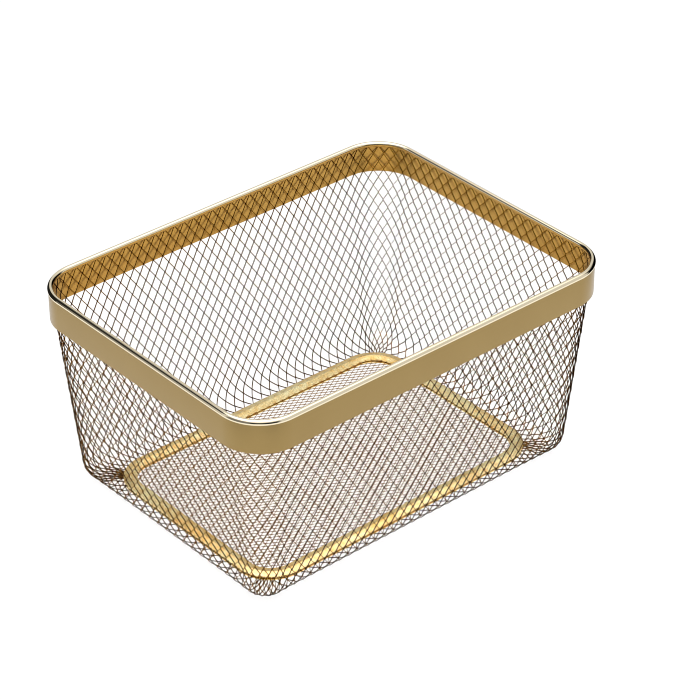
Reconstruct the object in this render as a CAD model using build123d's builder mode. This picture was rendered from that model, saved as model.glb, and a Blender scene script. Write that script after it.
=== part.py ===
from build123d import *
import os
from math import cos, hypot, radians, sin, tan

# Wire locker basket: an open-topped basket of expanded-metal mesh on a joining ring,
# with a strip rim that is rolled over a hoop wire. Millimetres. X runs along the long
# side, Z is up, and the origin is the middle of the base on the surface it stands on.
# The mesh pieces have the real outer shape and thickness, and a coarse grid of diamond
# openings stands for the fine mesh.

os.makedirs("parts", exist_ok=True)

# Overall size
rim_length = 305.0
rim_width = 230.0
basket_height = 152.0
rim_corner_radius = 31.0

# Rolled rim
bead_diameter = 4.0
band_height = 20.0
band_thickness = 0.7
band_inset = 0.5
core_clearance = 0.1
slot_clearance = 0.1

# Side mesh
mesh_thickness = 1.2
mesh_entry = 0.5
wall_lean_deg = 6.0
bend_radius = 14.0
bend_limit_share = 0.9

# Grid of openings in the mesh, counted along a long wall, up a wall and round a corner
wall_columns = 12
wall_rows = 5
corner_columns = 3
strand_width = 1.8
panel_border = 1.2

# Base
ring_inset = 31.8
ring_width = 9.2
ring_corner_radius = 26.0
ring_sheet = 0.8
ring_crown = 1.0
floor_thickness = 1.0
floor_columns = 8
floor_rows = 9
floor_strand_width = 1.4
weld_diameter = 1.8
weld_clearance = 0.3
weld_pitch = 36.0

# Corner axes: the rim, the walls and the lower bend all turn about the same four lines
axis_x = rim_length / 2 - rim_corner_radius
axis_y = rim_width / 2 - rim_corner_radius
ring_axis_x = rim_length / 2 - ring_inset - ring_corner_radius
ring_axis_y = rim_width / 2 - ring_inset - ring_corner_radius
axis_gap = axis_x - ring_axis_x

# Heights
mesh_floor = ring_sheet
lip_top = mesh_floor + mesh_thickness
ring_seat = mesh_floor + max(mesh_thickness, floor_thickness)
bead_radius = bead_diameter / 2
bead_height = basket_height - bead_radius
band_bottom = basket_height - bead_diameter - band_height
mesh_top = basket_height - bead_diameter + mesh_entry

# Wall line, as distances out from a corner axis. The lower bend is limited by the foot of
# the corner, whose axis it turns about, and by the outer edge of the joining ring.
lean = radians(wall_lean_deg)
band_face_out = rim_corner_radius - band_inset - band_thickness
wall_top_out = band_face_out - slot_clearance
flat_end = max(rim_corner_radius - ring_inset, 0)
foot_space = wall_top_out - (mesh_top - mesh_floor) * tan(lean) - flat_end
roundest_bend = foot_space / (cos(lean) - (1 - sin(lean)) * tan(lean))
bend_turn = min(bend_radius, roundest_bend * bend_limit_share)
wall_foot_height = mesh_floor + bend_turn * (1 - sin(lean))
wall_foot_out = wall_top_out - (mesh_top - wall_foot_height) * tan(lean)
bend_out = wall_foot_out - bend_turn * cos(lean)
bend_height = mesh_floor + bend_turn
wall_slope = (mesh_top - wall_foot_height) / cos(lean)

# Each mesh edge reaches under the ring as far as the welds in its middle let it
mesh_grip = (ring_width - weld_diameter) / 2 - weld_clearance
lip_out = rim_corner_radius - ring_inset - mesh_grip

up = Vector(0, 0, 1)
outward_of = {
    "front": Vector(0, -1, 0),
    "right": Vector(1, 0, 0),
    "back": Vector(0, 1, 0),
    "left": Vector(-1, 0, 0),
}
corner_of = {
    "front": "front_right",
    "right": "back_right",
    "back": "back_left",
    "left": "front_left",
}
side_after = {"front": "right", "right": "back", "back": "left", "left": "front"}


def side_plane(side, half_x, half_y):
    """Section plane at the corner axis where a side starts: local x is outward, local y is up."""
    outward = outward_of[side]
    along = outward.cross(up)
    reach = half_x * abs(outward.X) + half_y * abs(outward.Y)
    origin = outward * reach - along * side_run(side, half_x, half_y) / 2
    return Plane(origin=origin, x_dir=outward, z_dir=along)


def side_run(side, half_x, half_y):
    """Straight length of a side between its two corner axes."""
    outward = outward_of[side]
    return 2 * (half_x * abs(outward.Y) + half_y * abs(outward.X))


def corner_axis(plane):
    """Upright axis that a corner turns about."""
    return Axis(plane.origin, up)


def band_section(plane):
    """Flat of the rim strip, below its curl."""
    band_out = band_face_out + band_thickness / 2
    with BuildSketch(plane) as section:
        with Locations((band_out, band_bottom + band_height / 2)):
            Rectangle(band_thickness, band_height)
    return section.sketch


def bead_section(plane):
    """Curl of the rim strip round the core wire, open below where the mesh enters."""
    bead_out = rim_corner_radius - bead_radius
    band_out = band_face_out + band_thickness / 2
    slot_width = mesh_thickness / cos(lean) + 2 * slot_clearance
    slot_out = band_face_out - slot_width / 2
    with BuildSketch(plane) as section:
        with Locations((band_out, bead_height - bead_radius / 2)):
            Rectangle(band_thickness, bead_radius)
        with Locations((bead_out, bead_height)):
            Circle(bead_radius)
            Circle(bead_radius - band_thickness, mode=Mode.SUBTRACT)
        with Locations((slot_out, bead_height - bead_radius)):
            Rectangle(slot_width, bead_radius, mode=Mode.SUBTRACT)
    return section.sketch


def core_section(plane):
    """Round hoop wire inside the curl."""
    with BuildSketch(plane) as section:
        with Locations((rim_corner_radius - bead_radius, bead_height)):
            Circle(bead_radius - band_thickness - core_clearance)
    return section.sketch


def wall_section(plane):
    """Leaning wall of mesh, from the lower bend up into the rim."""
    across = mesh_thickness * cos(lean)
    rise = mesh_thickness * sin(lean)
    with BuildSketch(plane) as section:
        with BuildLine():
            Polyline(
                (wall_foot_out, wall_foot_height),
                (wall_top_out, mesh_top),
                (wall_top_out - mesh_thickness / cos(lean), mesh_top),
                (wall_foot_out - across, wall_foot_height + rise),
                close=True,
            )
        make_face()
    return section.sketch


def bend_section(plane, lip_end):
    """Lower bend that turns the wall inwards, and the flat lip as far as lip_end."""
    inner_radius = bend_turn - mesh_thickness
    with BuildSketch(plane) as section:
        with BuildLine():
            outer = CenterArc((bend_out, bend_height), bend_turn, -90, 90 - wall_lean_deg)
            inner = CenterArc((bend_out, bend_height), inner_radius, -90, 90 - wall_lean_deg)
            Line(outer @ 1, inner @ 1)
            Polyline(outer @ 0, (lip_end, mesh_floor), (lip_end, lip_top), inner @ 0)
        make_face()
    return section.sketch


def ring_section(plane):
    """Crowned strip of the joining ring, resting on the edges of both meshes."""
    outer_edge = ring_corner_radius
    inner_edge = ring_corner_radius - ring_width
    ridge = ring_corner_radius - ring_width / 2
    with BuildSketch(plane) as section:
        with BuildLine():
            Polyline(
                (inner_edge, ring_seat),
                (ridge, ring_seat + ring_crown),
                (outer_edge, ring_seat),
                (outer_edge, ring_seat + ring_sheet),
                (ridge, ring_seat + ring_crown + ring_sheet),
                (inner_edge, ring_seat + ring_sheet),
                close=True,
            )
        make_face()
    return section.sketch


def diamond(width, height, strand):
    """Opening of one cell of the grid, which keeps half a strand clear on each of its sides."""
    share = 1 - strand * hypot(width, height) / (width * height)
    half_width = width / 2 * share
    half_height = height / 2 * share
    return Polygon((half_width, 0), (0, half_height), (-half_width, 0), (0, -half_height))


def panel_openings(plane, length, height, columns, rows, strand):
    """Staggered diamonds of a flat panel of mesh, cut off straight at its border."""
    column = length / columns
    row = height / rows
    with BuildSketch(plane) as openings:
        with GridLocations(column, row, columns, rows):
            diamond(column, row, strand)
        with GridLocations(column, row, columns + 1, rows + 1):
            diamond(column, row, strand)
        Rectangle(length - 2 * panel_border, height - 2 * panel_border, mode=Mode.INTERSECT)
    return openings.sketch


def wall_openings(plane, run):
    """Openings of a leaning wall, with as wide columns as nearly fit on the long wall."""
    outward = plane.x_dir
    middle = Vector(
        (wall_foot_out + wall_top_out) / 2,
        (wall_foot_height + mesh_top) / 2,
        run / 2,
    )
    face = Plane(
        origin=plane.from_local_coords(middle),
        x_dir=plane.z_dir,
        z_dir=outward * cos(lean) - up * sin(lean),
    )
    return panel_openings(face, run, wall_slope, columns_along(run), wall_rows, strand_width)


def columns_along(run):
    """Columns of openings along a side, at the long wall's pitch."""
    return max(round(wall_columns * run / (2 * axis_x)), 1)


def bend_openings(plane, run):
    """One row of six-sided openings in a lower bend, cut slantwise through its arc."""
    outward = plane.x_dir
    half_arc = radians(90 - wall_lean_deg) / 2
    slant = half_arc + lean
    face = Plane(
        origin=plane.from_local_coords(Vector(bend_out, bend_height, run / 2)),
        x_dir=plane.z_dir,
        z_dir=outward * cos(slant) - up * sin(slant),
    )
    columns = columns_along(run)
    column = run / columns
    half_column = (column - strand_width) / 2
    half_row = bend_turn * sin(half_arc) - strand_width / 2
    with BuildSketch(face) as openings:
        with GridLocations(column, half_row, columns, 1):
            Polygon(
                (half_column, 0),
                (column / 4, half_row),
                (-column / 4, half_row),
                (-half_column, 0),
                (-column / 4, -half_row),
                (column / 4, -half_row),
            )
    return openings.sketch


def corner_openings(plane):
    """Openings of a tapering corner, each cut square to the corner at the opening's middle."""
    half_turn = 45 / corner_columns
    half_row = wall_slope / wall_rows / 2
    last = 2 * corner_columns
    openings = []
    for i in range(last + 1):
        for j in range(i % 2, 2 * wall_rows + 1, 2):
            climb = j * half_row
            out = wall_foot_out + climb * sin(lean)
            radial = plane.x_dir.rotate(Axis.Z, i * half_turn)
            foot = plane.origin + radial * out + up * (wall_foot_height + climb * cos(lean))
            face = Plane(
                origin=foot,
                x_dir=up.cross(radial),
                z_dir=radial * cos(lean) - up * sin(lean),
            )
            half_column = out * tan(radians(half_turn))
            start = panel_border if i == 0 else -half_column
            end = -panel_border if i == last else half_column
            with BuildSketch(face) as opening:
                diamond(2 * half_column, 2 * half_row, strand_width)
                with Locations(((start + end) / 2, wall_slope / 2 - climb)):
                    Rectangle(end - start, wall_slope - 2 * panel_border, mode=Mode.INTERSECT)
            openings.append(
                extrude(opening.sketch, amount=2 * mesh_thickness, both=True, mode=Mode.PRIVATE)
            )
    return openings


def hoop(section_of, half_x, half_y):
    """Closed hoop of one section, with four straight sides and four corners."""
    with BuildPart() as body:
        for side in outward_of:
            plane = side_plane(side, half_x, half_y)
            section = section_of(plane)
            extrude(section, amount=side_run(side, half_x, half_y), dir=plane.z_dir)
            revolve(section, axis=corner_axis(plane), revolution_arc=90)
    return body


def part_at_corners(body, half_x, half_y):
    """Parts a hoop where its sides meet its corners, so that each length is a simple solid."""
    with BuildPart() as lengths:
        add(body.part)
        for plane, half in ((Plane.YZ, half_x), (Plane.XZ, half_y)):
            split(bisect_by=plane.offset(half), keep=Keep.BOTH)
            split(bisect_by=plane.offset(-half), keep=Keep.BOTH)
    return lengths


def save(body, name):
    """Labels a finished piece and writes its file."""
    body.part.label = name
    export_step(body.part, f"parts/{name}.step")


# Rim strip, in two pieces that meet below the curl, and its core wire
rim_band = part_at_corners(hoop(band_section, axis_x, axis_y), axis_x, axis_y)
save(rim_band, "rim_band")

rim_bead = part_at_corners(hoop(bead_section, axis_x, axis_y), axis_x, axis_y)
save(rim_bead, "rim_bead")

rim_core_wire = hoop(core_section, axis_x, axis_y)
save(rim_core_wire, "rim_core_wire")

# Four flat walls of the side mesh, and the bend under each of them
for side in outward_of:
    plane = side_plane(side, axis_x, axis_y)
    run = side_run(side, axis_x, axis_y)
    with BuildPart() as wall_mesh:
        extrude(wall_section(plane), amount=run, dir=plane.z_dir)
        extrude(wall_openings(plane, run), amount=2 * mesh_thickness, both=True, mode=Mode.SUBTRACT)
    save(wall_mesh, f"wall_mesh_{side}")

    bend_start = plane.offset(axis_gap)
    bend_run = run - 2 * axis_gap
    with BuildPart() as lower_bend:
        extrude(bend_section(bend_start, lip_out), amount=bend_run, dir=plane.z_dir)
        extrude(bend_openings(bend_start, bend_run), amount=2 * bend_turn, mode=Mode.SUBTRACT)
    save(lower_bend, f"lower_bend_{side}")

# Four corners of the side mesh: a tapering quarter round, with the bend and the flat
# web below it that reaches in to the ring
for side, corner in corner_of.items():
    plane = side_plane(side, axis_x, axis_y)
    outward = outward_of[side]
    next_outward = outward_of[side_after[side]]
    next_plane = Plane(origin=plane.origin, x_dir=next_outward, z_dir=next_outward.cross(up))
    with BuildPart() as corner_mesh:
        revolve(wall_section(plane), axis=corner_axis(plane), revolution_arc=90)
        add(corner_openings(plane), mode=Mode.SUBTRACT)
    save(corner_mesh, f"corner_mesh_{corner}")

    ring_centre = plane.origin - (outward + next_outward) * axis_gap
    web_size = axis_gap + bend_out
    web_middle = ring_centre + (outward + next_outward) * web_size / 2
    with BuildPart() as corner_bend:
        bend = bend_section(plane, 0)
        extrude(bend, amount=axis_gap, dir=plane.z_dir)
        revolve(bend, axis=corner_axis(plane), revolution_arc=90)
        extrude(bend_section(next_plane, 0), amount=axis_gap, dir=-next_plane.z_dir)
        with BuildSketch(Plane.XY.offset(mesh_floor)):
            with Locations((web_middle.X, web_middle.Y)):
                Rectangle(web_size, web_size)
            fillet(vertices().sort_by_distance(plane.origin)[0], bend_out)
            with Locations((ring_centre.X, ring_centre.Y)):
                Circle(ring_corner_radius - mesh_grip, mode=Mode.SUBTRACT)
        extrude(amount=mesh_thickness)
    save(corner_bend, f"corner_bend_{corner}")

# Joining ring: two strips that grip the side mesh and the floor mesh between them
base_ring_upper = hoop(ring_section, ring_axis_x, ring_axis_y)
save(base_ring_upper, "base_ring_upper")

ring_length = rim_length - 2 * ring_inset
ring_breadth = rim_width - 2 * ring_inset
with BuildPart() as base_ring_lower:
    with BuildSketch():
        RectangleRounded(ring_length, ring_breadth, ring_corner_radius)
        RectangleRounded(
            ring_length - 2 * ring_width,
            ring_breadth - 2 * ring_width,
            ring_corner_radius - ring_width,
            mode=Mode.SUBTRACT,
        )
    extrude(amount=ring_sheet)
save(base_ring_lower, "base_ring_lower")

# Floor mesh, held all round by the ring
floor_margin = ring_width - mesh_grip
clear_length = ring_length - 2 * ring_width
clear_breadth = ring_breadth - 2 * ring_width
floor_plane = Plane.XY.offset(mesh_floor)
with BuildSketch(floor_plane) as floor_openings:
    add(
        panel_openings(
            Plane.XY,
            clear_length,
            clear_breadth,
            floor_columns,
            floor_rows,
            floor_strand_width,
        )
    )
    RectangleRounded(
        clear_length,
        clear_breadth,
        ring_corner_radius - ring_width,
        mode=Mode.INTERSECT,
    )
with BuildPart() as floor_mesh:
    with BuildSketch(floor_plane):
        RectangleRounded(
            ring_length - 2 * floor_margin,
            ring_breadth - 2 * floor_margin,
            ring_corner_radius - floor_margin,
        )
    extrude(amount=floor_thickness)
    extrude(floor_openings.sketch, amount=floor_thickness, mode=Mode.SUBTRACT)
save(floor_mesh, "floor_mesh")

# Spot welds that join the two strips between the mesh edges
weld_radius = weld_diameter / 2
weld_height = ring_seat + ring_crown * (1 - weld_radius / (ring_width / 2)) - mesh_floor
weld_x = ring_length / 2 - ring_width / 2
weld_y = ring_breadth / 2 - ring_width / 2
long_welds = 1 + 2 * int(ring_axis_x / weld_pitch)
short_welds = 1 + 2 * int(ring_axis_y / weld_pitch)
with BuildPart() as ring_spot_welds:
    with BuildSketch(Plane.XY.offset(mesh_floor)):
        with GridLocations(weld_pitch, 2 * weld_y, long_welds, 2):
            Circle(weld_radius)
        with GridLocations(2 * weld_x, weld_pitch, 2, short_welds):
            Circle(weld_radius)
    extrude(amount=weld_height)
save(ring_spot_welds, "ring_spot_welds")
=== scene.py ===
"""Gold expanded-metal storage basket, dressed over its CAD frame. Metres, +Z up."""
import math

import bpy
import numpy as np
from mathutils import Matrix, Vector


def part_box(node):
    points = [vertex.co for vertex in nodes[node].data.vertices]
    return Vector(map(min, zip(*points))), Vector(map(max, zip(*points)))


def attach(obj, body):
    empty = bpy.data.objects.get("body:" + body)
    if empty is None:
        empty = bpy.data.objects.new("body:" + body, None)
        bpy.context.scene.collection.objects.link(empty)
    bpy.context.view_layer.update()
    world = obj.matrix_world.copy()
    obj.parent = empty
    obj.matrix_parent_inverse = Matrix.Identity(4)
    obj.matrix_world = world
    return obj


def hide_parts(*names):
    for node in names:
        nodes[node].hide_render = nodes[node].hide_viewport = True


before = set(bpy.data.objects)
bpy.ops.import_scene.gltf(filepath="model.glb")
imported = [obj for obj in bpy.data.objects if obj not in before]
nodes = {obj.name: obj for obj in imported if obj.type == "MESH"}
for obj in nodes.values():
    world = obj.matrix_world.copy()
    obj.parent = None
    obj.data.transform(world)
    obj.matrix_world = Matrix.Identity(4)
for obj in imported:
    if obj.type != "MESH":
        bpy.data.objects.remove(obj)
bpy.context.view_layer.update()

MM = 0.001
SIDES = ("front", "right", "back", "left")
CORNERS = ("front_right", "back_right", "back_left", "front_left")

# Sizes read from the frame
BAND_LOW, BAND_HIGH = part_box("rim_band")
BEAD_LOW, BEAD_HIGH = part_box("rim_bead")
CORNER_LOW, CORNER_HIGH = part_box("corner_mesh_back_right")
RING_LOW, RING_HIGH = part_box("base_ring_upper")
SOLE_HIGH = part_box("base_ring_lower")[1]
FLOOR_LOW, FLOOR_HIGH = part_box("floor_mesh")
MESH_TOP = CORNER_HIGH.z
BEAD_RADIUS = (BEAD_HIGH.z - BEAD_LOW.z) / 2

# Corner axes, which the rim and the walls turn about
AXIS = Vector((CORNER_LOW.x, CORNER_LOW.y, 0))

# Sizes that the frame doesn't state, as on the CAD pieces
SIDE_THICKNESS = 1.2 * MM
BAND_THICKNESS = 0.7 * MM
WALL_LEAN = math.radians(6.0)
BEND_RADIUS = 14.0 * MM
RING_WIDTH = 9.2 * MM
RING_CORNER = 26.0 * MM
RING_SHEET = SOLE_HIGH.z
RING_AXIS = Vector((RING_HIGH.x - RING_CORNER, RING_HIGH.y - RING_CORNER, 0))

# Rim strip: rounding of its lower edge as a share of its thickness, play of the mesh in the curl, where
# the inside of the curl ends, in degrees from outward towards up, and the points of its arcs
EDGE_ROUNDING = 0.35
MESH_PLAY = 0.2 * MM
CURL_END = -60
CURL_OUTER_POINTS = 40
CURL_INNER_POINTS = 24
EDGE_POINTS = 5

# Turns of the curl, in degrees, where the painted amber bounce light of its inside begins, and where the
# band's satin does
PAINTED_BOUNCE_FROM = 160
SATIN_FROM = 300

# Ridge of the joining ring: section stations from edge to edge, and how softly the facets meet
RIDGE_STATIONS = (-1, -0.5, -0.15, -0.05, 0, 0.05, 0.15, 0.5, 1)
RIDGE_SOFTNESS = 0.003

# Cross sections in a quarter turn of each hoop, and along each straight side
BAND_TURN_STEPS = 24
BEAD_TURN_STEPS = 32
RING_TURN_STEPS = 28
STRAIGHT_STEPS = 12

# Side mesh: one belt of diamonds, counted round from the left end of the front wall. Its columns stray
# sideways by the drift at the walls' feet, gather to the pinch at each corner of the ring, and reach in
# under the ring by the grip.
LONG_COLUMNS = 30
SHORT_COLUMNS = 18
CORNER_COLUMNS = 6
LONG_ROW = 12.1 * MM
SHORT_ROW = 11.4 * MM
STRAND_WIDTH = 0.52 * MM
STRAND_THICKNESS = 0.46 * MM
STRAND_TILT = math.radians(-83)
BOND_LENGTH = 1.1 * MM
END_DRIFT = 3.6 * MM
PINCH_WIDTH = 9.5 * MM
RING_GRIP = 3.4 * MM

# Floor mesh: finer diamonds, whose long way runs along the basket
FLOOR_ROW = 6.0 * MM
FLOOR_COLUMN = 3.5 * MM
FLOOR_STRAND_WIDTH = 0.36 * MM
FLOOR_STRAND_THICKNESS = 0.22 * MM
FLOOR_BOND_LENGTH = 0.8 * MM

# Steps for slopes of the side mesh: columns round it, and distance down it
COLUMN_NUDGE = 0.01
DOWN_NUDGE = 0.01 * MM

# Edges sharper than these, in degrees, stay sharp
SHARP_ANGLE = 35
RIDGE_SHARP_ANGLE = 50

# Light tent: its light at sines of the elevation, with the brightest; its black panels by azimuth and
# half width in degrees, the sine of the elevation of their tops, the softness of that edge, and their
# depth; and the half width in degrees of their soft side edges
TENT_LIGHT = [(0.0, 0.85), (0.3, 0.85), (0.6, 0.9), (0.74, 1.1), (0.84, 2.4), (1.0, 2.4)]
TENT_PANELS = [(0, 30, 0.58, 0.12, 1.0), (104, 32, 0.74, 0.06, 0.98), (-122, 32, 0.42, 0.2, 0.96),
               (180, 26, 0.58, 0.08, 0.7)]
TENT_PEAK = 2.4
PANEL_EDGE = 6

# Stage: half sizes of the table and of the floor round it, how far that floor lies below, how brightly
# both glow, and the width of the pixel filter
TABLE_HALF_X = 0.42
TABLE_HALF_Y = 0.38
STAGE_HALF = 6.0
STAGE_DROP = 1.0 * MM
STAGE_GLOW = 0.88
PIXEL_FILTER = 1.0

# Camera, solved on the rim's outline: angles in degrees, lengths in metres, focal length in pixels
AZIMUTH, ELEVATION, ROLL = -40.763, 33.028, -0.14
DISTANCE = 1.9031
SHIFT_RIGHT = 0.01706
SHIFT_UP = 0.01185
TARGET = Vector((0, 0, 0.076))
FOCAL_PIXELS = 2870.7
IMAGE_SIZE = 700
SENSOR_WIDTH = 36.0


def linear(code):
    """Linear colour with alpha from an sRGB hex code."""
    channels = [int(code[i:i + 2], 16) / 255 for i in (1, 3, 5)]
    return [c / 12.92 if c <= 0.04045 else ((c + 0.055) / 1.055) ** 2.4 for c in channels] + [1.0]


def add_node(tree, kind, settings=None, *places, **inputs):
    """Adds a node and sets or links its inputs: places by number, the others by name with _ for spaces."""
    node = tree.nodes.new(kind)
    for name, value in (settings or {}).items():
        setattr(node, name, value)
    sockets = [(node.inputs[i], value) for i, value in enumerate(places)]
    sockets += [(node.inputs[name.replace("_", " ")], value) for name, value in inputs.items()]
    for socket, value in sockets:
        if isinstance(value, bpy.types.NodeSocket):
            tree.links.new(value, socket)
        else:
            socket.default_value = value
    return node


def new_material(name):
    """Empty node material and its tree, with the output's surface left to link."""
    material = bpy.data.materials.new(name)
    material.use_nodes = True
    tree = material.node_tree
    tree.nodes.clear()
    return material, tree


def plated_metal(name, dark, light, roughness, spread, patch, grain, relief, edge="#FFFFFF"):
    """Plating whose tone wanders between two colours in patches, and its sheen in a fine grain."""
    material, tree = new_material(name)
    place = add_node(tree, "ShaderNodeTexCoord").outputs["Object"]
    patches = add_node(tree, "ShaderNodeTexNoise", Vector=place, Scale=1 / patch, Detail=3.0)
    fine = add_node(tree, "ShaderNodeTexNoise", Vector=place, Scale=1 / grain, Detail=2.0)
    tone = add_node(tree, "ShaderNodeMix", {"data_type": "RGBA"}, Factor=patches.outputs["Fac"],
                    A=linear(dark), B=linear(light))
    sheen = add_node(tree, "ShaderNodeMapRange", Value=fine.outputs["Fac"],
                     To_Min=roughness - spread, To_Max=roughness + spread)
    bump = add_node(tree, "ShaderNodeBump", Height=patches.outputs["Fac"], Distance=relief, Strength=1.0)
    shader = add_node(tree, "ShaderNodeBsdfPrincipled", Metallic=1.0, Base_Color=tone.outputs["Result"],
                      Roughness=sheen.outputs["Result"], Normal=bump.outputs["Normal"],
                      Specular_Tint=linear(edge))
    add_node(tree, "ShaderNodeOutputMaterial", Surface=shader.outputs["BSDF"])
    return material


def pressed_metal(name, warm, painted_highlight, roughness, press, relief):
    """Bright plating on the pressed ring: warm gold with painted highlights, pale in long stretches and
    small flecks, and shallow press marks.
    """
    highlight_stretch_size = 70 * MM
    highlight_fleck_size = 4 * MM
    highlight_fleck_share = 0.6
    all_warm, full_painted_highlight = 0.6, 1.0
    material, tree = new_material(name)
    place = add_node(tree, "ShaderNodeTexCoord").outputs["Object"]
    highlight_stretch = add_node(tree, "ShaderNodeTexNoise", Vector=place, Scale=1 / highlight_stretch_size, Detail=1.0)
    highlight_fleck = add_node(tree, "ShaderNodeTexNoise", Vector=place, Scale=1 / highlight_fleck_size, Detail=1.0)
    share = add_node(tree, "ShaderNodeMath", {"operation": "MULTIPLY_ADD"},
                     highlight_fleck.outputs["Fac"], highlight_fleck_share, highlight_stretch.outputs["Fac"])
    # Pale tone where the two noises run high: painted highlights
    painted_highlight_share = add_node(tree, "ShaderNodeMapRange", Value=share.outputs["Value"],
                          From_Min=all_warm, From_Max=full_painted_highlight)
    tone = add_node(tree, "ShaderNodeMix", {"data_type": "RGBA"}, Factor=painted_highlight_share.outputs["Result"],
                    A=linear(warm), B=linear(painted_highlight))
    dents = add_node(tree, "ShaderNodeTexVoronoi", {"feature": "SMOOTH_F1"}, Vector=place, Scale=1 / press,
                     Smoothness=1.0)
    bump = add_node(tree, "ShaderNodeBump", Height=dents.outputs["Distance"], Distance=relief, Strength=1.0)
    shader = add_node(tree, "ShaderNodeBsdfPrincipled", Metallic=1.0, Base_Color=tone.outputs["Result"],
                      Roughness=roughness, Normal=bump.outputs["Normal"])
    add_node(tree, "ShaderNodeOutputMaterial", Surface=shader.outputs["BSDF"])
    return material


def mesh_object(name, points, faces, material, sharp_angle=SHARP_ANGLE):
    """Mesh piece that rides on the basket, with its edges sharp above an angle."""
    data = bpy.data.meshes.new(name)
    data.from_pydata(np.asarray(points).tolist(), [], faces)
    data.polygons.foreach_set("use_smooth", [True] * len(data.polygons))
    data.set_sharp_from_angle(angle=math.radians(sharp_angle))
    data.materials.append(material)
    piece = bpy.data.objects.new(name, data)
    bpy.context.scene.collection.objects.link(piece)
    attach(piece, "root")
    return piece


def around(side, along, half_along, half_out, radius):
    """Plan point of a rounded rectangle, at a distance along it from the middle of a side."""
    turn = side * math.pi / 2
    quarter = radius * math.pi / 2
    past = np.abs(along) - half_along
    swing = np.clip(past / radius, 0, math.pi / 2)
    ahead = np.sign(along) * (np.minimum(np.abs(along), half_along) + radius * np.sin(swing))
    out = half_out + radius * np.cos(swing) - np.maximum(past - quarter, 0)
    x = ahead * np.cos(turn) + out * np.sin(turn)
    y = ahead * np.sin(turn) - out * np.cos(turn)
    return x, y


def half_spans(side, axis):
    """Half length along a side, and the distance out to its corner axes."""
    long_side = side % 2 == 0
    return np.where(long_side, axis.x, axis.y), np.where(long_side, axis.y, axis.x)


def column_place(column):
    """Side of each column coordinate, its columns from that side's middle, and the side's count."""
    starts = np.cumsum([0] + [LONG_COLUMNS + CORNER_COLUMNS, SHORT_COLUMNS + CORNER_COLUMNS] * 2)
    column = np.mod(column, starts[-1])
    side = np.searchsorted(starts, column, side="right") - 1
    count = np.where(side % 2 == 0, LONG_COLUMNS, SHORT_COLUMNS)
    return side, column - starts[side] - count / 2, count


def belt_line():
    """Radii and heights of the mid surface of the side mesh: at the rim, and at the wall's foot."""
    half_sheet = SIDE_THICKNESS / 2
    turn = BEND_RADIUS - half_sheet
    floor = RING_SHEET + half_sheet
    top_radius = CORNER_HIGH.x - AXIS.x - half_sheet / math.cos(WALL_LEAN)
    foot_height = floor + turn * (1 - math.sin(WALL_LEAN))
    foot_radius = top_radius - (MESH_TOP - foot_height) * math.tan(WALL_LEAN)
    return turn, floor, top_radius, foot_height, foot_radius


BELT_TURN, BELT_FLOOR, BELT_TOP_RADIUS, BELT_FOOT, BELT_FOOT_RADIUS = belt_line()
WALL_RUN = (MESH_TOP - BELT_FOOT) / math.cos(WALL_LEAN)
BEND_RUN = BELT_TURN * (math.pi / 2 - WALL_LEAN)


def wall_along(local, count, half_along, radius, drift):
    """Distance along the belt, from a side's middle, of a column on the wall or past its end."""
    wall_half = half_along - drift
    on_wall = local / (count / 2) * wall_half
    corner_run = radius * math.pi / 2 + 2 * drift
    past = wall_half + (local - count / 2) / CORNER_COLUMNS * corner_run
    return np.where(local > count / 2, past, on_wall)


def ring_along(local, count, half_along, ring_half):
    """Distance along the ring of a column's end: straight in from the wall, pinched at the corner."""
    pitch = 2 * (half_along - END_DRIFT) / count
    corner_middle = ring_half + RING_CORNER * math.pi / 4
    straight = ring_half - RING_CORNER / 4
    reach = np.abs(local)
    edge = count / 2
    spread = (corner_middle - PINCH_WIDTH / 2 - straight) / (edge - straight / pitch)
    gathered = straight + (reach - straight / pitch) * spread
    pinched = corner_middle - PINCH_WIDTH / 2 + (reach - edge) / CORNER_COLUMNS * PINCH_WIDTH
    run = np.where(reach < straight / pitch, reach * pitch, np.where(reach < edge, gathered, pinched))
    return np.sign(local) * run


def belt_point(column, down):
    """Point of the side mesh's mid surface: column coordinate round it, distance down from its top."""
    side, local, count = column_place(column)
    half_along, half_out = half_spans(side, AXIS)
    ring_half, ring_out = half_spans(side, RING_AXIS)
    on_wall = np.minimum(down, WALL_RUN)
    height = MESH_TOP - on_wall * math.cos(WALL_LEAN)
    radius = BELT_TOP_RADIUS - (MESH_TOP - height) * math.tan(WALL_LEAN)
    drift = END_DRIFT * on_wall / WALL_RUN
    along = wall_along(local, count, half_along, radius, drift)
    x, y = around(side, along, half_along, half_out, radius)
    end_along = ring_along(local, count, half_along, ring_half)
    end_x, end_y = around(side, end_along, ring_half, ring_out, RING_CORNER)
    length = np.hypot(end_x - x, end_y - y)
    theta = WALL_LEAN + np.clip(down - WALL_RUN, 0, BEND_RUN) / BELT_TURN
    flat = np.maximum(down - WALL_RUN - BEND_RUN, 0)
    inward = BELT_TURN * (math.cos(WALL_LEAN) - np.cos(theta)) + flat
    below = down > WALL_RUN
    x = np.where(below, x + (end_x - x) / length * inward, x)
    y = np.where(below, y + (end_y - y) / length * inward, y)
    height = np.where(below, BELT_FLOOR + BELT_TURN * (1 - np.sin(theta)), height)
    return np.stack([x, y, height], axis=-1)


def belt_end(column):
    """Distance down from the mesh's top to its end under the ring, at a column coordinate."""
    side, local, count = column_place(column)
    half_along, half_out = half_spans(side, AXIS)
    ring_half, ring_out = half_spans(side, RING_AXIS)
    along = wall_along(local, count, half_along, BELT_FOOT_RADIUS, END_DRIFT)
    x, y = around(side, along, half_along, half_out, BELT_FOOT_RADIUS)
    end_along = ring_along(local, count, half_along, ring_half)
    end_x, end_y = around(side, end_along, ring_half, ring_out, RING_CORNER)
    flat = np.hypot(end_x - x, end_y - y) - BELT_TURN * math.cos(WALL_LEAN) + RING_GRIP
    return WALL_RUN + BEND_RUN + flat


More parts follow.
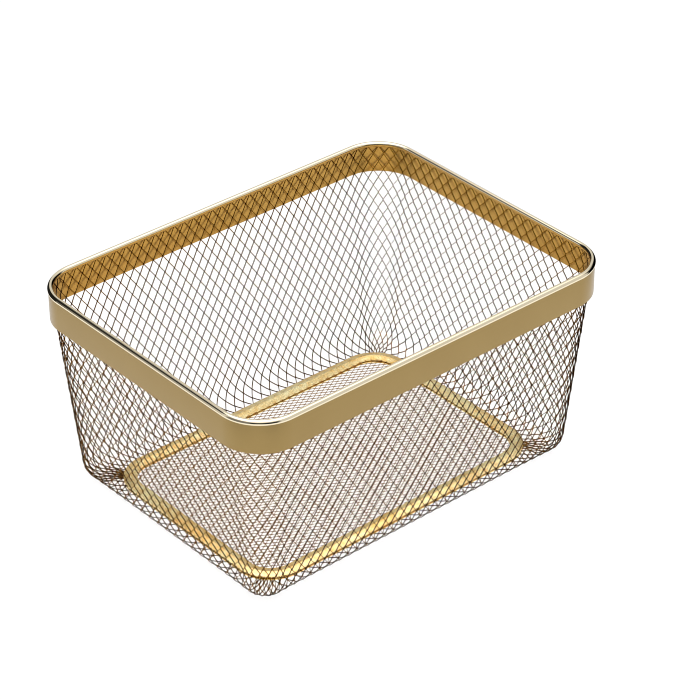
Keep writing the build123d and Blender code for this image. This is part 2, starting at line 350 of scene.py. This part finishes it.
def belt_row(column):
    """Height of a diamond at a column coordinate: the long walls have the taller ones."""
    side, local, count = column_place(column)
    share = np.clip((local - count / 2) / CORNER_COLUMNS, 0, 1)
    here = np.where(side % 2 == 0, LONG_ROW, SHORT_ROW)
    there = np.where(side % 2 == 0, SHORT_ROW, LONG_ROW)
    return here + (there - here) * share


def zigzag(row, strip, bond_share):
    """Sway of a strip, from -1 to 1: it lies still along each bond and crosses over between them."""
    step = row - np.floor(row)
    cross = np.clip((step - bond_share) / (1 - 2 * bond_share), 0, 1)
    start = np.where((np.floor(row) + strip) % 2 == 0, 1.0, -1.0)
    return start * (1 - 2 * cross)


def row_samples(first, last, bond_share):
    """Row coordinates where a strip has a cross section, from its first to its last."""
    steps = [-bond_share, bond_share, (1 + bond_share) / 3, (2 - bond_share) / 3]
    whole = np.arange(math.floor(first), math.ceil(last) + 1)
    rows = (whole[:, None] + np.array(steps)).ravel()
    rows = rows[(rows > first) & (rows < last)]
    return np.concatenate([[first], rows, [last]])


def unit(vectors):
    """Vectors of length one."""
    return vectors / np.linalg.norm(vectors, axis=-1, keepdims=True)


def strand_tube(path, broad, width, thickness):
    """Four-sided tube along a path, its broad side along given directions: corners and faces."""
    run = unit(np.gradient(path, axis=0))
    broad = unit(broad - run * np.sum(broad * run, axis=1, keepdims=True))
    thin = np.cross(run, broad)
    corners = [(1, 1), (-1, 1), (-1, -1), (1, -1)]
    points = np.stack([path + broad * width / 2 * a + thin * thickness / 2 * b for a, b in corners], axis=1)
    faces = []
    for i in range(len(path) - 1):
        for j in range(4):
            k = (j + 1) % 4
            faces.append((4 * i + j, 4 * i + k, 4 * i + 4 + k, 4 * i + 4 + j))
    last = 4 * (len(path) - 1)
    faces.append((3, 2, 1, 0))
    faces.append((last, last + 1, last + 2, last + 3))
    return points.reshape(-1, 3), faces


def join_tubes(tubes):
    """One list of points and faces from many tubes."""
    points, faces, start = [], [], 0
    for tube_points, tube_faces in tubes:
        points.append(tube_points)
        faces.extend(tuple(start + i for i in face) for face in tube_faces)
        start += len(tube_points)
    return np.concatenate(points), faces


def belt_strip(strip):
    """One zigzag strip of the side mesh, from the curl of the rim to under the ring."""
    middle = strip / 2
    half_row = float(belt_row(middle)) / 2
    bond_share = BOND_LENGTH / 4 / half_row
    rows = row_samples(0.0, float(belt_end(middle)) / half_row, bond_share)
    sway = zigzag(rows, strip, bond_share)
    column = middle + sway / 4
    down = rows * half_row
    path = belt_point(column, down)
    across = unit(belt_point(column + COLUMN_NUDGE, down) - belt_point(column - COLUMN_NUDGE, down))
    fall = unit(belt_point(column, down + DOWN_NUDGE) - belt_point(column, down - DOWN_NUDGE))
    outward = np.cross(fall, across)
    broad = across * math.cos(STRAND_TILT) - outward * math.sin(STRAND_TILT)
    path = path - broad * (STRAND_WIDTH / 2 * sway)[:, None]
    return strand_tube(path, broad, STRAND_WIDTH, STRAND_THICKNESS)


def tube_sides(tubes):
    """Material of each face of joined tubes: 0 on the broad sheared sides and ends, which carry painted
    shade, 1 on the narrow sides, which carry painted glints.
    """
    sides = []
    for _, faces in tubes:
        sides += [0, 1, 0, 1] * ((len(faces) - 2) // 4) + [0, 0]
    return sides


def side_mesh(painted_shade_material, painted_glint_material):
    """The belt of expanded metal: zigzag strips that join their neighbours at the bonds in turn."""
    strips = 2 * (2 * (LONG_COLUMNS + SHORT_COLUMNS) + 4 * CORNER_COLUMNS)
    tubes = [belt_strip(k) for k in range(strips)]
    points, faces = join_tubes(tubes)
    piece = mesh_object("side_mesh", points, faces, painted_shade_material)
    # Broad sides get the near-black painted shade, narrow sides the brown-gold painted glints
    piece.data.materials.append(painted_glint_material)
    piece.data.polygons.foreach_set("material_index", tube_sides(tubes))
    replaced = [f"{kind}_{side}" for kind in ("wall_mesh", "lower_bend") for side in SIDES]
    replaced += [f"{kind}_{corner}" for kind in ("corner_mesh", "corner_bend") for corner in CORNERS]
    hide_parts(*replaced)


def floor_strip(strip, count):
    """One zigzag strip of the floor mesh, along the basket, cut to the floor's rounded outline."""
    reach = FLOOR_HIGH.x - RING_AXIS.x
    y = (strip - (count - 1) / 2) * FLOOR_COLUMN / 2
    beyond = max(abs(y) + FLOOR_COLUMN / 4 - RING_AXIS.y, 0)
    half = RING_AXIS.x + math.sqrt(reach ** 2 - beyond ** 2)
    half_row = FLOOR_ROW / 2
    bond_share = FLOOR_BOND_LENGTH / 2 / FLOOR_ROW
    rows = row_samples(-half / half_row, half / half_row, bond_share)
    sway = zigzag(rows, strip, bond_share)
    middle = np.full_like(rows, (FLOOR_LOW.z + FLOOR_HIGH.z) / 2)
    path = np.stack([rows * half_row, y + sway * FLOOR_COLUMN / 4, middle], axis=-1)
    broad = np.tile([0, math.cos(STRAND_TILT), -math.sin(STRAND_TILT)], (len(rows), 1))
    path = path - broad * (FLOOR_STRAND_WIDTH / 2 * sway)[:, None]
    return strand_tube(path, broad, FLOOR_STRAND_WIDTH, FLOOR_STRAND_THICKNESS)


def floor_mesh(material):
    """Floor panel of fine expanded metal, held all round under the ring."""
    count = int((FLOOR_HIGH.y - FLOOR_LOW.y - FLOOR_COLUMN / 2) / (FLOOR_COLUMN / 2))
    points, faces = join_tubes([floor_strip(k, count) for k in range(count)])
    piece = mesh_object("floor_panel", points, faces, material)
    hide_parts("floor_mesh")


def hoop_sweep(section, axis, turn_steps):
    """Closed sweep of a section round the basket. Section points are distance out, height."""
    section = np.asarray(section)
    points = []
    for side in range(4):
        half_along, half_out = half_spans(side, axis)
        stations = [(s, 0.0) for s in np.linspace(-half_along, half_along, STRAIGHT_STEPS)]
        stations += [(half_along, a) for a in np.linspace(0, math.pi / 2, turn_steps)[1:-1]]
        turn = side * math.pi / 2
        for along, swing in stations:
            ahead = along + section[:, 0] * math.sin(swing)
            out = half_out + section[:, 0] * math.cos(swing)
            x = ahead * math.cos(turn) + out * math.sin(turn)
            y = ahead * math.sin(turn) - out * math.cos(turn)
            points.append(np.stack([x, y, section[:, 1]], axis=-1))
    count, size = len(points), len(section)
    faces = []
    for i in range(count):
        for j in range(size):
            k = (j + 1) % size
            n = (i + 1) % count
            faces.append((i * size + j, n * size + j, n * size + k, i * size + k))
    return np.concatenate(points), faces


def arc(centre, radius, start, end, count):
    """Points of an arc in a section, angles in degrees from outward towards up."""
    angles = np.radians(np.linspace(start, end, count))
    return [(centre[0] + radius * math.cos(a), centre[1] + radius * math.sin(a)) for a in angles]


def out_from_axis(point):
    """Distance of a point on the rim from the line through the corner axes, in plan."""
    return math.hypot(max(abs(point.x) - AXIS.x, 0), max(abs(point.y) - AXIS.y, 0))


def rim_band(material, painted_bounce_material):
    """Flat of the rim strip, with its edges rounded by the plating."""
    outer = BAND_HIGH.x - AXIS.x
    inner = outer - BAND_THICKNESS
    edge = BAND_THICKNESS * EDGE_ROUNDING
    low, high = BAND_LOW.z, BAND_HIGH.z
    section = [(outer, high), (inner, high)]
    section += arc((inner + edge, low + edge), edge, -180, -90, EDGE_POINTS)
    section += arc((outer - edge, low + edge), edge, -90, 0, EDGE_POINTS)
    points, faces = hoop_sweep(section, AXIS, BAND_TURN_STEPS)
    piece = mesh_object("rim_strip_band", points, faces, material)
    # The inside face takes the brighter amber: painted bounce light from the gold sides
    piece.data.materials.append(painted_bounce_material)
    for face in piece.data.polygons:
        if out_from_axis(face.center) < inner + edge / 2:
            face.material_index = 1
    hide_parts("rim_band")


def rim_bead(material, band_material, painted_bounce_material):
    """Curl of the rim strip: satin up to where it turns, mirror-bright over the top with a pale tone that
    is partly painted highlight, and inside a warm amber that is painted bounce light.
    """
    centre = (BEAD_HIGH.x - AXIS.x - BEAD_RADIUS, BEAD_HIGH.z - BEAD_RADIUS)
    band_outer = BAND_HIGH.x - AXIS.x
    band_inner = band_outer - BAND_THICKNESS
    slot = SIDE_THICKNESS / math.cos(WALL_LEAN) + MESH_PLAY
    start = -90 + math.degrees(math.asin((band_outer - centre[0]) / BEAD_RADIUS))
    lip = 270 + math.degrees(math.asin((band_inner - slot - centre[0]) / BEAD_RADIUS))
    section = [(band_outer, BAND_HIGH.z)]
    section += arc(centre, BEAD_RADIUS, start, lip, CURL_OUTER_POINTS)
    section += arc(centre, BEAD_RADIUS - BAND_THICKNESS, lip, CURL_END, CURL_INNER_POINTS)
    section += [(band_inner, BAND_HIGH.z)]
    points, faces = hoop_sweep(section, AXIS, BEAD_TURN_STEPS)
    # The curl's plating is paler than the band's: partly a painted highlight
    piece = mesh_object("rim_strip_bead", points, faces, material)
    piece.data.materials.append(band_material)
    piece.data.materials.append(painted_bounce_material)
    # Faces inside the curl take the amber of painted bounce light
    for face in piece.data.polygons:
        rise, out = face.center.z - centre[1], out_from_axis(face.center) - centre[0]
        turn = math.degrees(math.atan2(rise, out)) % 360
        if PAINTED_BOUNCE_FROM < turn < SATIN_FROM:
            face.material_index = 2
        elif SATIN_FROM < turn < 360 + start:
            face.material_index = 1
    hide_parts("rim_bead")


def base_ring(material):
    """Upper strip of the joining ring: two facets that meet in a soft ridge."""
    middle = RING_CORNER - RING_WIDTH / 2
    seat = RING_LOW.z
    crown = RING_HIGH.z - RING_SHEET - seat
    share = np.array(RIDGE_STATIONS)
    rise = crown * (1 - np.sqrt(share ** 2 + RIDGE_SOFTNESS) / math.sqrt(1 + RIDGE_SOFTNESS))
    top = [(middle - s * RING_WIDTH / 2, seat + RING_SHEET + r) for s, r in zip(share, rise)]
    under = [(middle + s * RING_WIDTH / 2, seat + r) for s, r in zip(share, rise)]
    points, faces = hoop_sweep(top + under, RING_AXIS, RING_TURN_STEPS)
    piece = mesh_object("ring_strip_upper", points, faces, material, RIDGE_SHARP_ANGLE)
    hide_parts("base_ring_upper")


def dress_cad(name, material):
    """Gives a CAD piece, whose shape is right as it is, its finish."""
    nodes[name].data.materials.clear()
    nodes[name].data.materials.append(material)


def studio_tent():
    """White light tent, brightest overhead, with black panels round it; the camera sees plain white."""
    world = bpy.data.worlds.new("studio_tent")
    world.use_nodes = True
    tree = world.node_tree
    tree.nodes.clear()
    direction = add_node(tree, "ShaderNodeTexCoord").outputs["Generated"]
    height = add_node(tree, "ShaderNodeSeparateXYZ", Vector=direction).outputs["Z"]
    level = add_node(tree, "ShaderNodeVectorMath", {"operation": "MULTIPLY"}, direction, (1, 1, 0))
    bearing = add_node(tree, "ShaderNodeVectorMath", {"operation": "NORMALIZE"}, level.outputs["Vector"])
    light = add_node(tree, "ShaderNodeValToRGB", Fac=height)
    stops = light.color_ramp.elements
    for place, (sine, radiance) in enumerate(TENT_LIGHT):
        stop = stops[place] if place < len(stops) else stops.new(sine)
        stop.position = sine
        stop.color = [radiance / TENT_PEAK] * 3 + [1.0]
    scaled = add_node(tree, "ShaderNodeMath", {"operation": "MULTIPLY"}, light.outputs["Color"], TENT_PEAK)
    glow = scaled.outputs["Value"]
    for azimuth, half_width, top, soft, depth in TENT_PANELS:
        middle = (math.cos(math.radians(azimuth)), math.sin(math.radians(azimuth)), 0)
        outside = math.cos(math.radians(half_width + PANEL_EDGE))
        inside = math.cos(math.radians(half_width - PANEL_EDGE))
        facing = add_node(tree, "ShaderNodeVectorMath", {"operation": "DOT_PRODUCT"},
                          bearing.outputs["Vector"], middle)
        across = add_node(tree, "ShaderNodeMapRange", {"interpolation_type": "SMOOTHSTEP"},
                          Value=facing.outputs["Value"], From_Min=outside, From_Max=inside, To_Max=depth)
        up_to = add_node(tree, "ShaderNodeMapRange", {"interpolation_type": "SMOOTHSTEP"},
                         Value=height, From_Min=top + soft, From_Max=top - soft)
        panel = add_node(tree, "ShaderNodeMath", {"operation": "MULTIPLY"},
                         up_to.outputs["Result"], across.outputs["Result"])
        kept = add_node(tree, "ShaderNodeMath", {"operation": "SUBTRACT", "use_clamp": True},
                        1.0, panel.outputs["Value"])
        dimmed = add_node(tree, "ShaderNodeMath", {"operation": "MULTIPLY"}, glow, kept.outputs["Value"])
        glow = dimmed.outputs["Value"]
    tent = add_node(tree, "ShaderNodeBackground", Strength=glow)
    backdrop = add_node(tree, "ShaderNodeBackground", Color=linear("#FFFFFF"), Strength=1.0)
    seen = add_node(tree, "ShaderNodeLightPath").outputs["Is Camera Ray"]
    surface = add_node(tree, "ShaderNodeMixShader", None,
                       seen, tent.outputs["Background"], backdrop.outputs["Background"])
    add_node(tree, "ShaderNodeOutputWorld", Surface=surface.outputs["Shader"])
    return world


def floor_plane(name, half_x, half_y, height, material):
    """Level stage plane."""
    data = bpy.data.meshes.new(name)
    signs = [(-1, -1), (1, -1), (1, 1), (-1, 1)]
    data.from_pydata([(half_x * i, half_y * j, height) for i, j in signs], [], [(0, 1, 2, 3)])
    data.materials.append(material)
    plane = bpy.data.objects.new(name, data)
    bpy.context.scene.collection.objects.link(plane)
    return plane


def studio():
    """White table on a pale floor in a light tent; of the two, only the table shows in bright metal."""
    material, tree = new_material("white_studio_floor")
    shader = add_node(tree, "ShaderNodeBsdfPrincipled", Base_Color=linear("#6E6E6D"), Roughness=0.9,
                      Emission_Color=linear("#FFFFFF"), Emission_Strength=STAGE_GLOW)
    add_node(tree, "ShaderNodeOutputMaterial", Surface=shader.outputs["BSDF"])
    floor_plane("studio_table", TABLE_HALF_X, TABLE_HALF_Y, 0.0, material)
    floor = floor_plane("studio_floor", STAGE_HALF, STAGE_HALF, -STAGE_DROP, material)
    floor.visible_glossy = False
    bpy.context.scene.world = studio_tent()
    bpy.context.scene.view_settings.view_transform = "Standard"
    bpy.context.scene.cycles.filter_width = PIXEL_FILTER


def camera():
    """Camera at the photograph's place, which looks a little past the middle of the basket."""
    azimuth, elevation, roll = (math.radians(angle) for angle in (AZIMUTH, ELEVATION, ROLL))
    back = Vector((math.sin(azimuth) * math.cos(elevation), -math.cos(azimuth) * math.cos(elevation),
                   math.sin(elevation)))
    level = Vector((math.cos(azimuth), math.sin(azimuth), 0))
    upright = back.cross(level)
    right = level * math.cos(roll) + upright * math.sin(roll)
    above = upright * math.cos(roll) - level * math.sin(roll)
    data = bpy.data.cameras.new("camera")
    data.sensor_width = SENSOR_WIDTH
    data.lens = SENSOR_WIDTH * FOCAL_PIXELS / IMAGE_SIZE
    eye = bpy.data.objects.new("camera", data)
    place = TARGET + back * DISTANCE + right * SHIFT_RIGHT + above * SHIFT_UP
    turn = Matrix((right, above, back)).transposed().to_4x4()
    eye.matrix_world = Matrix.Translation(place) @ turn
    bpy.context.scene.collection.objects.link(eye)
    bpy.context.scene.camera = eye


# Brass plating on rolled strip, rubbed to a satin: a calm khaki gold whose sheen fades along the sides
band_gold = plated_metal("satin_gold_plating", "#A08756", "#A78E5C", roughness=0.3, spread=0.04,
                         patch=30 * MM, grain=0.4 * MM, relief=0.02 * MM)
# The same strip inside the rim, given a deeper, brighter amber: painted bounce light that stands for the
# warm light the gold sides throw on each other
painted_bounce_gold = plated_metal("inner_plating_painted_bounce_light", "#D2A452", "#DCAE5C", roughness=0.3, spread=0.04,
                          patch=30 * MM, grain=0.4 * MM, relief=0.02 * MM)
# Bright plating burnished by rolling: a mirror bead, white where it sees light, black where it sees dark;
# its cream tone, paler than the band's plating on the same strip, is partly a painted highlight
bead_gold_painted_highlight = plated_metal("mirror_gold_plating_painted_highlight", "#F4E6C4", "#FAEED2", roughness=0.04, spread=0.02,
                         patch=25 * MM, grain=0.4 * MM, relief=0.005 * MM)
# Plating on the sheared sides of the strands, darkened to near black as painted shade: dark brown lines
# against white
painted_shade_strand_gold = plated_metal("strand_plating_painted_shade", "#341E02", "#503008", roughness=0.2, spread=0.06,
                            patch=12 * MM, grain=0.3 * MM, relief=0.01 * MM, edge="#5A3A08")
# Plating on the strands' narrow sides, a brighter copy of the same plating: painted glints, thin and
# brown-gold beside the dark lines
painted_glint_strand_gold = plated_metal("strand_plating_painted_glints", "#80580F", "#9A6E22", roughness=0.15, spread=0.05,
                           patch=12 * MM, grain=0.3 * MM, relief=0.01 * MM)
# Plating on the fine floor mesh: a thin veil of pale brown gold
floor_gold = plated_metal("fine_strand_plating", "#8E6216", "#AE7E2A", roughness=0.2, spread=0.06,
                          patch=9 * MM, grain=0.3 * MM, relief=0.01 * MM)
# Bright plating on the ring, pressed over the mesh edges: yellow gold with painted highlights in pale
# stretches and flecks, and soft dimples
ring_gold_painted_highlights = pressed_metal("pressed_gold_plating_painted_highlights", "#F8D084", "#FFF4C0", roughness=0.25,
                          press=8.4 * MM, relief=0.1 * MM)
# Drawn wire, hidden in the bead: plain bright steel
wire_steel = plated_metal("drawn_steel", "#A8A8AA", "#B8B8BA", roughness=0.3, spread=0.05,
                          patch=10 * MM, grain=0.3 * MM, relief=0.01 * MM)

side_mesh(painted_shade_strand_gold, painted_glint_strand_gold)
floor_mesh(floor_gold)
rim_band(band_gold, painted_bounce_gold)
rim_bead(bead_gold_painted_highlight, band_gold, painted_bounce_gold)
base_ring(ring_gold_painted_highlights)
dress_cad("rim_core_wire", wire_steel)
dress_cad("base_ring_lower", ring_gold_painted_highlights)
dress_cad("ring_spot_welds", ring_gold_painted_highlights)
studio()
camera()
